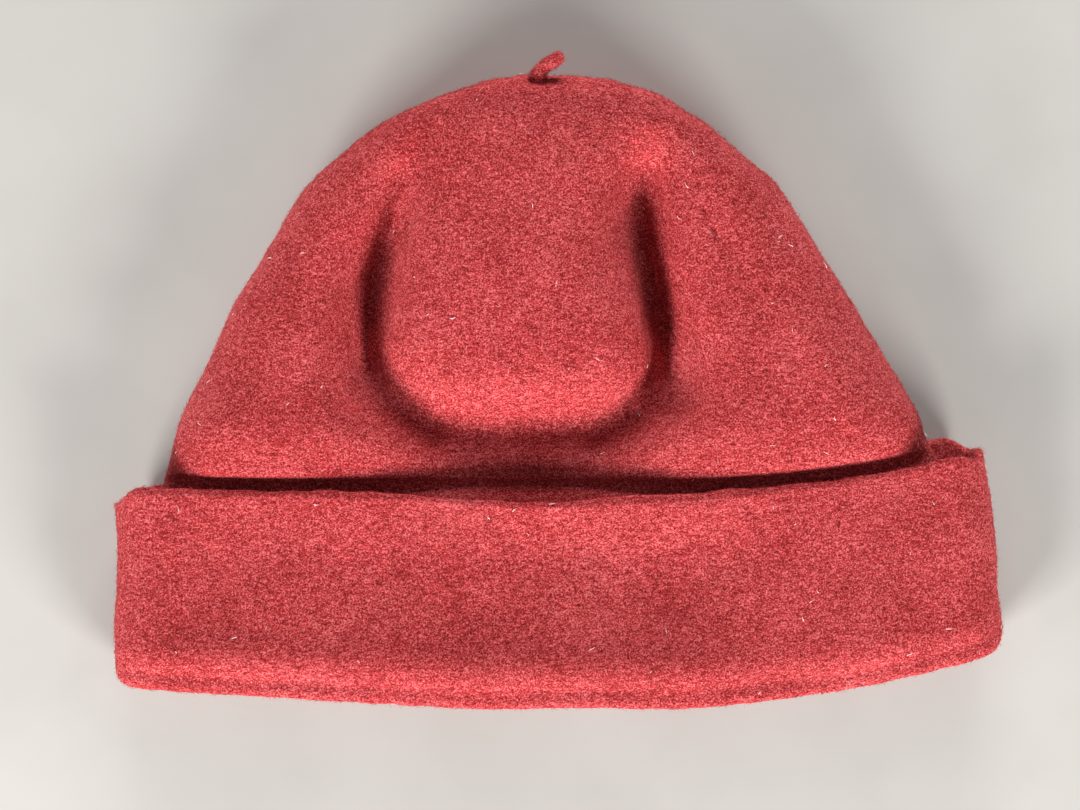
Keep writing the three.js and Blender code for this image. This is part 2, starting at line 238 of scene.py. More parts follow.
@dataclass(frozen=True)
class FeltForm:
    """Sizes and sections of the flattened felt, in millimetres, as in the part's solids."""

    fold_width: float = 288.2
    crown_length: float = 196.5
    cuff_height: float = 60.9
    fold_height: float = 24.0
    crown_height: float = 36.0
    wall: float = 2.8
    cuff_gap: float = 1.2
    fold_nose: float = 3.1
    fold_drop: float = 2.6
    side_sag: float = 3.0
    mid_sag: float = 3.2
    fold_swell: float = 1.0
    end_flare: float = 1.4
    mid_flare: float = 0.6
    foot_bow: float = 3.0
    cuff_round: float = 13.0
    edge_dip: float = 2.3
    corner_drop: float = 5.5
    back_rise: float = 5.0
    lean_in: float = 6.5
    corner: float = 24.0
    floor: float = 17.0
    panel_round: float = 14.0
    blend: float = 12.0
    press_depth: float = 9.2
    press_width: float = 50.0
    left_crease: Crease = Crease(14.5, 9.0)
    right_crease: Crease = Crease(17.5, 8.6)
    foot_crease: Crease = Crease(3.0, 10.0)
    right_draw: Draw = Draw(30.0, 18.3, 1.8, 0.8)
    left_draw: Draw = Draw(30.0, 7.0, 1.1, 0.28)
    steps: Steps = field(default_factory=Steps)

    @property
    def half_width(self) -> float:
        """Half the width across the fold."""
        return self.fold_width / 2

    @property
    def crease_foot(self) -> float:
        """Distance of the crease's foot from the fold."""
        return 0.424 * self.crown_length

    def rows(self, position: np.ndarray) -> dict[str, np.ndarray]:
        """Named section values, one row of an array per position."""
        values = curve_through(CROWN_ROWS, position)
        return {name: values[:, k : k + 1] for k, name in enumerate(CROWN_COLUMNS)}

    def drawn_up(self, x: np.ndarray, share: np.ndarray, draw: Draw, side: int) -> np.ndarray:
        """Rise of the fold line towards one end.

        Args:
            x: places across the hat.
            share: what is left of the rise there.
            draw: the end's sizes.
            side: 1 for the right end and -1 for the left.

        Returns:
            The rise at each place.
        """
        reach = np.clip(side * x - draw.start, 0.0, None) / (self.half_width - draw.start)
        return draw.rise * reach**draw.power * share

    def body_drawn_up(self, x: np.ndarray, along: np.ndarray, draw: Draw, side: int) -> np.ndarray:
        """Rise of the body with one end of the cuff.

        Args:
            x: places across the hat.
            along: shares of the crown's length.
            draw: the end's sizes.
            side: 1 for the right end and -1 for the left.

        Returns:
            The rise at each place, fading above the cuff.
        """
        share = 1 - (1 - draw.left) * np.clip(along / 0.32, 0, 1)
        return self.drawn_up(x, share * (1 - ease((along - 0.32) / 0.27)), draw, side)

    def slack(self, x: np.ndarray) -> np.ndarray:
        """Where the cuff's front hangs slack between its two taut ends, 0 to 1."""
        return ease((x + 143) / 40) * (1 - ease((x - 45) / 50))

    def settled(self, x: np.ndarray, up: np.ndarray) -> np.ndarray:
        """How far both front layers sink between the fold and the cuff's free edge.

        Args:
            x: places across the hat.
            up: shares of the cuff's height.

        Returns:
            The drop at each place.
        """
        sag = self.side_sag * self.slack(x) + self.mid_sag * bell(x - 20, 50)
        valley = np.sin(math.pi * np.minimum(up, 1.0) / 1.2) ** 2 * (1 - ease((up - 1) / 0.12))
        return sag * valley + self.fold_drop * np.clip(1 - up / 0.13, 0, None) ** 2

    def front_height(self, x: np.ndarray, row: dict[str, np.ndarray]) -> np.ndarray:
        """Height of the front layer: lobes, puffed panel and the U-shaped crease between them.

        Args:
            x: places across the hat, one row per section.
            row: the sections' values.

        Returns:
            Heights of the outer face.
        """
        along = np.broadcast_to(row["along"], x.shape)
        x = x + row["lean"] * self.half_width
        key = np.clip(along, 0.32, 0.9)
        from_left = x - look_up(LEFT_ARM, key) * self.half_width
        from_right = look_up(RIGHT_ARM, key) * self.half_width - x
        bow = self.foot_bow * np.clip(1 - ((x + 8) / 50) ** 2, -1, 1)
        from_foot = along * self.crown_length - self.crease_foot + bow
        inside = soft_min(soft_min(from_left, from_right, self.corner), from_foot, self.corner)
        crest_fade = ease((along - 0.66) / 0.26)
        blend = self.blend + 45 * ease((along - 0.74) / 0.2)
        on_panel = ease((inside + blend) / (2 * blend))
        low = ease((0.60 - along) / 0.24) * ease((along - 0.292) / 0.062)
        pressed = self.press_depth * bell(x + 8, self.press_width) * low
        lobe = row["lobe"] * self.crown_height - pressed
        lobe = lobe - self.settled(x, along * self.crown_length / self.cuff_height)
        crest = row["panel"] * self.crown_height
        puff = 1 - np.exp(-np.clip(inside, 0, None) / self.panel_round) * (1 - crest_fade)
        panel = np.minimum(self.floor, crest) + np.clip(crest - self.floor, 0, None) * puff
        return lobe + (panel - lobe) * on_panel - self.crease(x, along, inside)

    def crease(self, x: np.ndarray, along: np.ndarray, inside: np.ndarray) -> np.ndarray:
        """Depth of the crease.

        Args:
            x: places across the hat.
            along: shares of the crown's length.
            inside: distance inside the crease's line.

        Returns:
            How far the felt is pinched down.
        """
        to_right = ease((x + 20) / 40)
        arm = 1 - ease((0.54 - along) / 0.18)
        left = self.left_crease.depth * ease((0.97 - along) / 0.32) * (1 - to_right)
        right = self.right_crease.depth * ease((0.92 - along) / 0.17) * to_right
        depth = (left + right) * arm + self.foot_crease.depth * (1 - arm)
        arm_width = self.left_crease.width * (1 - to_right) + self.right_crease.width * to_right
        width = arm_width * arm + self.foot_crease.width * (1 - arm)
        return depth * bell(inside, width) * ease((along - 0.33) / 0.05)

    def back_height(self, row: dict[str, np.ndarray]) -> np.ndarray:
        """Height of the back layer, stepping off the cuff and lifting at the crown's end.

        Args:
            row: the sections' values.

        Returns:
            One height per section.
        """
        side = row["side"] * self.crown_height
        step = (self.wall + self.cuff_gap) * (1 - ease((row["along"] - 0.365) / 0.08))
        return np.minimum(step, side) + (side - step) * ease((row["along"] - 0.945) / 0.055) ** 1.5

    def loop(
        self, reach: np.ndarray, shoulder: np.ndarray, side: np.ndarray, low: np.ndarray
    ) -> tuple:
        """Places round the hat, from the right side over the front and back along the underside.

        Args:
            reach: half-width of each section.
            shoulder: width of its rounded side.
            side: height of its side edge.
            low: height of its underside.

        Returns:
            Across places and rise shares of the front, then across places and heights of the back.
        """
        steps = self.steps
        turn = np.linspace(0, math.pi / 2, steps.shoulder + 1)[None, :]
        rounding = np.minimum(shoulder, reach * 0.5)
        right = reach - rounding * (1 - np.cos(turn))
        middle = (reach - rounding) * np.linspace(1, -1, steps.front + 1)[None, 1:-1]
        front = np.concatenate([right, middle, -right[:, ::-1]], axis=1)
        level = np.ones((1, steps.front - 1))
        rise = np.concatenate([np.sin(turn), level, np.sin(turn)[:, ::-1]], axis=1)
        under = np.minimum(side - low, reach * 0.4)
        turn = np.linspace(0, math.pi / 2, steps.underside + 1)[None, 1:]
        left = -reach + under * (1 - np.cos(turn))
        flat = (reach - under) * np.linspace(-1, 1, steps.back + 1)[None, 1:-1]
        back = np.concatenate([left, flat, -left[:, ::-1]], axis=1)
        level = np.ones((1, steps.back - 1))
        fall = np.concatenate([np.sin(turn), level, np.sin(turn)[:, ::-1]], axis=1)
        return front, rise, back, side - (side - low) * fall

    def crown(self, count: int) -> np.ndarray:
        """Outer face of the body, from the mouth up to just before the crown's end.

        Args:
            count: how many rings it has.

        Returns:
            Points, shape (count, round, 3).
        """
        row = self.rows(np.arange(count) / count)
        side = row["side"] * self.crown_height
        reach = row["half"] * self.half_width
        low = self.back_height(row)
        front, rise, back, back_z = self.loop(reach, row["shoulder"] * self.half_width, side, low)
        top = side + (self.front_height(front, row) - side) * rise**0.9
        x = np.concatenate([front, back], axis=1)
        z = np.concatenate([top, back_z], axis=1)
        along = np.broadcast_to(row["along"], x.shape)
        y = along * self.crown_length + self.body_drawn_up(x, along, self.right_draw, 1)
        y = y + self.body_drawn_up(x, along, self.left_draw, -1)
        return np.stack([x + row["lean"] * self.half_width, y, z], axis=-1)

    def cuff(self, count: int) -> np.ndarray:
        """Face of the cuff towards the body, from the fold to the free edge.

        Args:
            count: how many rings it has.

        Returns:
            Points, shape (count, round, 3).
        """
        up = np.linspace(0, 1, count)[:, None]
        reach = np.full_like(up, self.half_width - self.wall)
        side = np.full_like(up, self.fold_height / 2)
        low = np.full_like(up, self.wall)
        front, rise, back, back_z = self.loop(reach, np.full_like(up, self.cuff_round), side, low)
        slack = self.slack(front)
        flare = (self.end_flare + self.mid_flare * slack) * np.clip((up - 0.6) / 0.4, 0, None) ** 2
        swell = self.fold_swell * slack * bell(up - 0.11, 0.09)
        face = self.fold_height - self.wall + flare + swell - self.settled(front, up)
        top = side + (face - side) * rise**0.9
        x = np.concatenate([front, back], axis=1)
        z = np.concatenate([top, back_z], axis=1)
        is_front = ease((z - side) / (side - self.wall))
        dip = self.edge_dip * bell(x + 7, 28) * is_front
        corner = self.corner_drop * bell(reach - np.abs(x), 4.5)
        back_rise = self.back_rise * ease((x - 60) / 50) * (1 - is_front)
        y = up * (self.cuff_height - dip - corner + back_rise)
        y = y + self.drawn_up(x, 1 - (1 - self.right_draw.left) * up, self.right_draw, 1)
        y = y + self.drawn_up(x, 1 - (1 - self.left_draw.left) * up, self.left_draw, -1)
        lean_in = self.lean_in * up * np.clip(x / reach, 0, None) ** 3
        return np.stack([x - lean_in, y, z], axis=-1)


def ring_normals(rings: np.ndarray) -> np.ndarray:
    """Unit normals of a grid of rings, away from the hat's inside on rising rings.

    Args:
        rings: points, shape (rings, round, 3).

    Returns:
        One normal per point.
    """
    along = np.gradient(rings, axis=0)
    around = np.roll(rings, -1, axis=1) - np.roll(rings, 1, axis=1)
    normal = np.cross(along, around)
    return normal / np.maximum(np.linalg.norm(normal, axis=-1, keepdims=True), 1e-9)


def turn_between(first: np.ndarray, last: np.ndarray, count: int, rise: float) -> np.ndarray:
    """Half-round turn from one ring to another.

    Args:
        first: ring it leaves.
        last: ring it reaches.
        count: rings between them.
        rise: how far it bulges along Y.

    Returns:
        The rings between.
    """
    angle = (np.arange(1, count + 1) / (count + 1) * math.pi)[:, None, None]
    middle, half = (first + last) / 2, (last - first) / 2
    bulge = np.array([0.0, rise, 0.0])
    return middle - half * np.cos(angle) + bulge * np.sin(angle)


def new_mesh(name: str, points: np.ndarray, faces: np.ndarray) -> bpy.types.Object:
    """Smooth-shaded object from points in millimetres and triangles or quads.

    Args:
        name: the piece's name.
        points: its vertices.
        faces: vertex numbers, one row per face.

    Returns:
        The new object, linked to the scene.
    """
    mesh = bpy.data.meshes.new(name)
    mesh.vertices.add(len(points))
    mesh.vertices.foreach_set("co", (points * MM).astype(np.float32).ravel())
    sides = faces.shape[1]
    mesh.loops.add(faces.size)
    mesh.loops.foreach_set("vertex_index", faces.astype(np.int32).ravel())
    mesh.polygons.add(len(faces))
    mesh.polygons.foreach_set("loop_start", np.arange(0, faces.size, sides, dtype=np.int32))
    mesh.update(calc_edges=True)
    mesh.validate()
    mesh.shade_smooth()
    piece = bpy.data.objects.new(name, mesh)
    bpy.context.scene.collection.objects.link(piece)
    return piece


def skin_faces(rows: int, around: int) -> np.ndarray:
    """Triangles of a grid of rings that is closed by a pole at each end.

    Args:
        rows: how many rings there are.
        around: how many points each ring has.

    Returns:
        Vertex numbers, where the first and last pole come after the rings.
    """
    grid = np.arange(rows * around).reshape(rows, around)
    after = np.roll(grid, -1, axis=1)
    quads = np.stack([grid[:-1], after[:-1], after[1:], grid[1:]], axis=-1).reshape(-1, 4)
    split = np.concatenate([quads[:, [0, 1, 2]], quads[:, [0, 2, 3]]])
    first = np.stack([np.full(around, rows * around), after[0], grid[0]], axis=-1)
    last = np.stack([np.full(around, rows * around + 1), grid[-1], after[-1]], axis=-1)
    return np.concatenate([split, first, last])


def add_values(mesh: bpy.types.Mesh, name: str, values: np.ndarray) -> None:
    """Stores one value per vertex under a name that materials read."""
    attribute = mesh.attributes.new(name, "FLOAT", "POINT")
    attribute.data.foreach_set("value", values.astype(np.float32).ravel())


class Nodes:
    """Short calls to lay out a node tree."""

    def __init__(self, tree: bpy.types.NodeTree) -> None:
        """Starts on an emptied tree."""
        self.tree = tree
        self.column = 0

    def add(self, kind: str, values: dict | None = None, **settings: object) -> bpy.types.Node:
        """Adds a node.

        Args:
            kind: the node's type name without its prefix.
            values: input values by socket name or number.
            settings: properties of the node.

        Returns:
            The new node.
        """
        prefix = "" if kind.startswith("Node") else "ShaderNode"
        node = self.tree.nodes.new(prefix + kind)
        self.column += 1
        node.location = (self.column * 180, -(self.column % 4) * 160)
        for key, value in settings.items():
            setattr(node, key, value)
        for key, value in (values or {}).items():
            node.inputs[key].default_value = value
        return node

    def link(self, source: bpy.types.NodeSocket, target: bpy.types.NodeSocket) -> None:
        """Joins an output to an input."""
        self.tree.links.new(source, target)

    def maths(self, operation: str, a: object, b: object = 0.0) -> bpy.types.NodeSocket:
        """Result of a sum on sockets or numbers.

        Args:
            operation: the Math node's operation.
            a: first socket or number.
            b: second socket or number.

        Returns:
            The result's socket.
        """
        node = self.add("Math", operation=operation)
        for value, socket in ((a, node.inputs[0]), (b, node.inputs[1])):
            if isinstance(value, (int, float)):
                socket.default_value = value
            else:
                self.link(value, socket)
        return node.outputs[0]

    def spread(self, value: object, low: float, high: float) -> bpy.types.NodeSocket:
        """Stretches a range of a value over 0 to 1, clamped.

        Args:
            value: the value's socket.
            low: what becomes 0.
            high: what becomes 1.

        Returns:
            The stretched value's socket.
        """
        node = self.add("MapRange", {1: low, 2: high, 3: 0.0, 4: 1.0}, clamp=True)
        self.link(value, node.inputs[0])
        return node.outputs[0]

    def mix(self, share: object, a: object, b: object) -> bpy.types.NodeSocket:
        """Mix of two colours by a share.

        Args:
            share: socket or number, 0 for the first colour.
            a: first colour or socket.
            b: second colour or socket.

        Returns:
            The mixed colour's socket.
        """
        node = self.add("Mix", data_type="RGBA")
        for value, number in ((share, 0), (a, 6), (b, 7)):
            if isinstance(value, bpy.types.NodeSocket):
                self.link(value, node.inputs[number])
            else:
                node.inputs[number].default_value = value
        return node.outputs[2]

    def noise(
        self, scale: float, detail: float, roughness: float = 0.5, stretch: tuple = (1, 1, 1)
    ) -> bpy.types.NodeSocket:
        """Value noise in the object's own coordinates, per metre.

        Args:
            scale: how many grains a metre holds.
            detail: octaves.
            roughness: strength of the finer octaves.
            stretch: scale along each axis.

        Returns:
            The noise value's socket.
        """
        place = self.add("TexCoord")
        mapping = self.add("Mapping")
        mapping.inputs["Scale"].default_value = stretch
        self.link(place.outputs["Object"], mapping.inputs["Vector"])
        noise = self.add("TexNoise", {"Scale": scale, "Detail": detail, "Roughness": roughness})
        self.link(mapping.outputs["Vector"], noise.inputs["Vector"])
        return noise.outputs["Fac"]


def new_group(name: str, inputs: list[tuple], outputs: list[tuple]) -> tuple:
    """Empty shader node group with named sockets.

    Args:
        name: the group's name.
        inputs: name, socket type and default value of each input.
        outputs: name and socket type of each output.

    Returns:
        The group, its node layout, its input node and its output node.
    """
    group = bpy.data.node_groups.new(name, "ShaderNodeTree")
    for label, kind, value in inputs:
        socket = group.interface.new_socket(label, in_out="INPUT", socket_type=kind)
        socket.default_value = value
    for label, kind in outputs:
        group.interface.new_socket(label, in_out="OUTPUT", socket_type=kind)
    nodes = Nodes(group)
    return group, nodes, nodes.add("NodeGroupInput"), nodes.add("NodeGroupOutput")


def wool_mottle_group() -> bpy.types.NodeTree:
    """Matted wool: three reds mixed in grains and blotches, and the height of the mat.

    Returns:
        The group.
    """
    colour = "NodeSocketColor"
    group, nodes, given, out = new_group(
        "wool_mottle",
        [
            ("Deep", colour, (0.2, 0.01, 0.015, 1)),
            ("Base", colour, (0.5, 0.03, 0.04, 1)),
            ("Light", colour, (0.8, 0.1, 0.12, 1)),
            ("Blotches", "NodeSocketFloat", 0.3),
        ],
        [("Color", colour), ("Height", "NodeSocketFloat")],
    )
    grain = nodes.noise(1900, 3.0, 0.7)
    strands = nodes.noise(520, 4.0, 0.7, (1.0, 1.9, 1.0))
    blotch = nodes.noise(46, 3.0, 0.55)
    fine = nodes.maths("MULTIPLY", grain, 0.7)
    mat = nodes.maths("ADD", fine, nodes.maths("MULTIPLY", strands, 0.3))
    uneven = nodes.maths("SUBTRACT", blotch, 0.5)
    shifted = nodes.maths("MULTIPLY", uneven, given.outputs["Blotches"])
    tone = nodes.maths("ADD", mat, shifted)
    dark = nodes.mix(nodes.spread(tone, 0.41, 0.5), given.outputs["Deep"], given.outputs["Base"])
    light = nodes.mix(nodes.spread(tone, 0.5, 0.6), dark, given.outputs["Light"])
    nodes.link(light, out.inputs["Color"])
    nodes.link(nodes.maths("ADD", mat, nodes.maths("MULTIPLY", blotch, 0.35)), out.inputs["Height"])
    return group


def plain_grain_group() -> bpy.types.NodeTree:
    """Two near colours mixed in soft grains.

    Returns:
        The group.
    """
    colour = "NodeSocketColor"
    group, nodes, given, out = new_group(
        "plain_grain",
        [
            ("First", colour, (0.5, 0.5, 0.5, 1)),
            ("Second", colour, (0.6, 0.6, 0.6, 1)),
            ("Grains", "NodeSocketFloat", 100.0),
        ],
        [("Color", colour)],
    )
    place = nodes.add("TexCoord")
    noise = nodes.add("TexNoise", {"Detail": 3.0, "Roughness": 0.5})
    nodes.link(place.outputs["Object"], noise.inputs["Vector"])
    nodes.link(given.outputs["Grains"], noise.inputs["Scale"])
    share = nodes.spread(noise.outputs["Fac"], 0.35, 0.65)
    mixed = nodes.mix(share, given.outputs["First"], given.outputs["Second"])
    nodes.link(mixed, out.inputs["Color"])
    return group


@dataclass(frozen=True)
class WoolFelt:
    """Hairy fulled wool."""

    name: str
    deep: tuple = (0.15, 0.007, 0.008, 1.0)
    base: tuple = (0.40, 0.027, 0.030, 1.0)
    light: tuple = (0.66, 0.150, 0.160, 1.0)
    blotches: float = 0.08
    bump: float = 0.55
    knit: float = 0.0
    row_pitch: float = 2.3

    def make(self, mottle: bpy.types.NodeTree) -> bpy.types.Material:
        """Builds the material.

        Args:
            mottle: the shared wool group.

        Returns:
            The material.
        """
        material = bpy.data.materials.new(self.name)
        material.use_nodes = True
        material.node_tree.nodes.clear()
        nodes = Nodes(material.node_tree)
        wool = nodes.add("Group", node_tree=mottle)
        wool.inputs["Deep"].default_value = self.deep
        wool.inputs["Base"].default_value = self.base
        wool.inputs["Light"].default_value = self.light
        wool.inputs["Blotches"].default_value = self.blotches
        colour, height = wool.outputs["Color"], wool.outputs["Height"]
        if self.knit:
            rows = self.knit_rows(nodes)
            height = nodes.maths("ADD", height, nodes.maths("MULTIPLY", rows, self.knit))
            colour = nodes.mix(nodes.maths("MULTIPLY", rows, self.knit * 0.35), colour, self.light)
        bump = nodes.add("Bump", {"Strength": self.bump, "Distance": 0.0006})
        nodes.link(height, bump.inputs["Height"])
        skin = nodes.add("BsdfPrincipled", {
            "Roughness": 0.95,
            "Specular IOR Level": 0.12,
            "Sheen Weight": 0.1,
            "Sheen Roughness": 0.45,
            "Sheen Tint": (1.0, 0.4, 0.42, 1.0),
        })
        nodes.link(colour, skin.inputs["Base Color"])
        nodes.link(bump.outputs["Normal"], skin.inputs["Normal"])
        out = nodes.add("OutputMaterial")
        nodes.link(skin.outputs["BSDF"], out.inputs["Surface"])
        return material

    def knit_rows(self, nodes: Nodes) -> bpy.types.NodeSocket:
        """Faint rows of the knitted ground, where the nap lets them show.

        Args:
            nodes: the material's layout.

        Returns:
            The rows' strength, 0 to 1.
        """
        path = nodes.add("Attribute", attribute_name="felt_path").outputs["Fac"]
        waver = nodes.maths("MULTIPLY", nodes.noise(70, 2.0), 2.6)
        bent = nodes.maths("ADD", path, waver)
        row = nodes.maths("SINE", nodes.maths("MULTIPLY", bent, 2 * math.pi / self.row_pitch))
        shows = nodes.spread(nodes.noise(32, 2.0), 0.46, 0.62)
        return nodes.maths("MULTIPLY", nodes.spread(row, -0.2, 1.0), shows)


@dataclass(frozen=True)
class PlainFinish:
    """Single soft finish with a little grain, for loose lint and the floor."""

    name: str
    colour: tuple
    second: tuple
    grain: float
    roughness: float = 0.9

    def make(self, plain: bpy.types.NodeTree) -> bpy.types.Material:
        """Builds the material.

        Args:
            plain: the shared grain group.

        Returns:
            The material.
        """
        material = bpy.data.materials.new(self.name)
        material.use_nodes = True
        material.node_tree.nodes.clear()
        nodes = Nodes(material.node_tree)
        skin = nodes.add("BsdfPrincipled", {"Roughness": self.roughness, "Specular IOR Level": 0.2})
        grains = {"First": self.colour, "Second": self.second, "Grains": self.grain}
        grain = nodes.add("Group", grains, node_tree=plain)
        nodes.link(grain.outputs["Color"], skin.inputs["Base Color"])
        out = nodes.add("OutputMaterial")
        nodes.link(skin.outputs["BSDF"], out.inputs["Surface"])
        return material


RELIEF_SHARES = ((Layer.CUFF_FACE, 0.8), (Layer.FREE_EDGE, 0.5), (Layer.FOLD_OUTSIDE, 0.5))
NAP_SHARES = ((Layer.CUFF_FACE, 1.0), (Layer.FREE_EDGE, 2.0), (Layer.FOLD_OUTSIDE, 1.0))


@dataclass
class FeltCap:
    """The cap: one felt from the crown's end to the mouth, folded up as a cuff."""

    form: FeltForm = field(default_factory=FeltForm)
    broad_relief: float = 0.55
    lump_relief: float = 0.20
    pill_relief: float = 0.09
    edge_waver: float = 0.35
    pits: tuple = ((45.2, 151.7), (48.3, 144.9))
    pit_depth: float = 1.3
    pit_width: float = 1.1
    front_from: float = 16.0
    hidden_share: float = 0.37

    def layers(self) -> list[tuple[Layer, np.ndarray]]:
        """Follows the felt from the crown's end to the pole inside it.

        Returns:
            Rings of each stretch of the felt, in order.
        """
        form, steps = self.form, self.form.steps
        body, cuff = form.crown(steps.crown), form.cuff(steps.cuff_back)
        lining = form.crown(steps.lining)
        lining = (lining - ring_normals(lining) * form.wall)[: -steps.lining_short]
        face = form.cuff(steps.cuff_face)
        face = face + ring_normals(face) * form.wall
        tight = form.cuff_gap / 2 + form.fold_nose
        return [
            (Layer.CROWN, body[::-1]),
            (Layer.FOLD_INSIDE, turn_between(body[0], cuff[0], steps.fold_inside, -tight)),
            (Layer.CUFF_BACK, cuff),
            (Layer.FREE_EDGE, turn_between(cuff[-1], face[-1], steps.free_edge, form.wall / 2)),
            (Layer.CUFF_FACE, face[::-1]),
            (
                Layer.FOLD_OUTSIDE,
                turn_between(face[0], lining[0], steps.fold_outside, -tight - form.wall),
            ),
            (Layer.LINING, lining),
        ]

    def relief(self, rings: np.ndarray, kinds: np.ndarray) -> np.ndarray:
        """Uneven thickness of the felt where it shows.

        Args:
            rings: the whole felt's rings.
            kinds: each ring's layer number.

        Returns:
            How far each point stands out along its normal.
        """
        height = self.broad_relief * ripple(rings, 46, 11)
        height += self.lump_relief * ripple(rings, 12, 12)
        height += self.pill_relief * ripple(rings, 4.6, 13)
        for across, along in self.pits:
            away = np.hypot(rings[..., 0] - across, rings[..., 1] - along)
            in_front = rings[..., 2] > self.front_from
            height -= self.pit_depth * bell(away, self.pit_width) * in_front
        clear = ease((rings[..., 1] / self.form.crown_length - self.hidden_share) / 0.05)
        shown = np.zeros(rings.shape[:2])
        crown = kinds == Layer.CROWN.value
        shown[crown] = clear[crown]
        for layer, share in RELIEF_SHARES:
            shown[kinds == layer.value] = share
        normals = ring_normals(rings)
        facing_up = 0.15 + 0.85 * ease((rings[..., 2] - 1.5) / 5)
        down = ease((-normals[..., 2] - 0.3) / 0.4)
        return height * shown * np.where(rings[..., 2] < 9, facing_up * (1 - 0.9 * down), 1.0)

    def build(self, shift: np.ndarray) -> tuple[bpy.types.Object, dict[str, np.ndarray]]:
        """Makes the cap's mesh.

        Args:
            shift: millimetres from the form's own origin to the row frame.

        Returns:
            The piece, and its rings, normals and layer numbers for the nap.
        """
        layers = self.layers()
        rings = np.concatenate([ring for _, ring in layers])
        kinds = np.concatenate([np.full(len(ring), layer.value) for layer, ring in layers])
        middle = np.flatnonzero(kinds == Layer.FREE_EDGE.value).mean()
        edge = bell(np.arange(len(kinds)) - middle, 7.0)
        waver = self.edge_waver * ripple(rings * [1, 0, 1], 16, 21)
        rings[..., 1] += waver * edge[:, None]
        normals = ring_normals(rings)
        outward = -normals
        rings = rings + outward * self.relief(rings, kinds)[..., None]
        rings[..., 2] = np.maximum(rings[..., 2], 0.0)
        count = rings.shape[1]
        tip = self.form.rows(np.array([1.0]))
        pole = np.array([
            tip["lean"][0, 0] * self.form.half_width,
            self.form.crown_length,
            tip["side"][0, 0] * self.form.crown_height,
        ])
        poles = [pole, pole - [0, self.form.wall, 0]]
        points = np.concatenate([rings.reshape(-1, 3), poles]) + shift
        piece = new_mesh("felt_cap_shell", points, skin_faces(len(kinds), count))
        stretch = np.linalg.norm(np.diff(rings, axis=0), axis=-1).mean(axis=1)
        path = np.concatenate([[0.0], np.cumsum(stretch)])
        felt_path = np.concatenate([np.repeat(path, count), [0.0, path[-1]]])
        add_values(piece.data, "felt_path", felt_path)
        return piece, {"rings": rings + shift, "kinds": kinds, "normals": ring_normals(rings)}


@dataclass
class Stalk:
    """Short rolled felt stem at the crown's end."""

    length: float = 11.5
    width: float = 4.8
    root: float = -7.0
    lean: tuple = (0.72, 0.62, 0.18)
    seat_gap: float = 0.05
    sides: int = 40
    steps: int = 40

    def build(
        self, form: FeltForm, shift: np.ndarray
    ) -> tuple[bpy.types.Object, dict[str, np.ndarray]]:
        """Makes the stalk's mesh.

        Args:
            form: the cap it sits on.
            shift: millimetres to the row frame.

        Returns:
            The piece, and its rings and normals for the nap.
        """
        seat, ahead, behind = (self.surface(form, position) for position in (0.85, 0.866, 0.834))
        normal = np.cross([1.0, 0.0, 0.0], ahead - behind)
        normal /= np.linalg.norm(normal)
        base = seat + normal * self.seat_gap
        knee = base + normal * 0.4 * self.length
        tip = base + np.array(self.lean) * self.length
        share = np.linspace(0, 1, self.steps + 1)[:, None]
        centre = base * (1 - share) ** 2 + 2 * knee * share * (1 - share) + tip * share**2
        along = 2 * (knee - base) * (1 - share) + 2 * (tip - knee) * share
        along /= np.linalg.norm(along, axis=1, keepdims=True)
        wide = np.cross(along, [0.0, 0.0, 1.0])
        wide /= np.linalg.norm(wide, axis=1, keepdims=True)
        deep = np.cross(wide, along)
        swell = 1.25 - 0.45 * ease(share * 1.8) + 0.12 * share
        close = np.sqrt(np.clip(1 - ((share - 0.86) / 0.145).clip(0, None) ** 2, 0.02, 1))
        radius = (self.width / 2 * swell * close)[:, :, None]
        angle = np.linspace(0, 2 * math.pi, self.sides, endpoint=False)[None, :, None]
        spoke = np.cos(angle) * wide[:, None] + np.sin(angle) * deep[:, None]
        rings = centre[:, None] + radius * spoke
        out = rings - centre[:, None]
        out /= np.linalg.norm(out, axis=-1, keepdims=True)
        ridges = 0.10 * np.sin(3 * angle[..., 0] + 5 * share) + 0.12 * ripple(rings, 3.2, 31)
        rings = rings + out * (ridges * ease(share * 6))[..., None]
        points = np.concatenate([rings.reshape(-1, 3), [base, tip + along[-1] * 0.1]]) + shift
        faces = skin_faces(self.steps + 1, self.sides)
        a, b, c = (points[faces[:, k]] for k in range(3))
        if np.einsum("ij,ij->i", a, np.cross(b, c)).sum() < 0:
            faces = faces[:, ::-1]
        return new_mesh("stalk_felt_stem", points, faces), {"rings": rings + shift, "normals": out}

    def surface(self, form: FeltForm, position: float) -> np.ndarray:
        """Point of the crown under the stalk's root.

        Args:
            form: the cap it sits on.
            position: place along the sections, from 0 to 1.

        Returns:
            The point in the form's own frame.
        """
        row = form.rows(np.array([position]))
        height = form.front_height(np.array([[self.root]]), row)[0, 0]
        return np.array([self.root, row["along"][0, 0] * form.crown_length, height])


@dataclass(frozen=True)
class Fibre:
    """Kind of fibre: its lengths in millimetres, how far it stands up, and its curl."""

    length: tuple
    lift: tuple
    bend: float


MATTED = Fibre((0.9, 2.6), (0.05, 0.35), 0.6)
STANDING = Fibre((1.0, 2.8), (0.25, 0.75), 0.6)
WHITE_LINT = Fibre((0.8, 2.6), (0.05, 0.3), 0.3)
STALK_HAIR = Fibre((0.7, 2.0), (0.1, 0.7), 0.5)


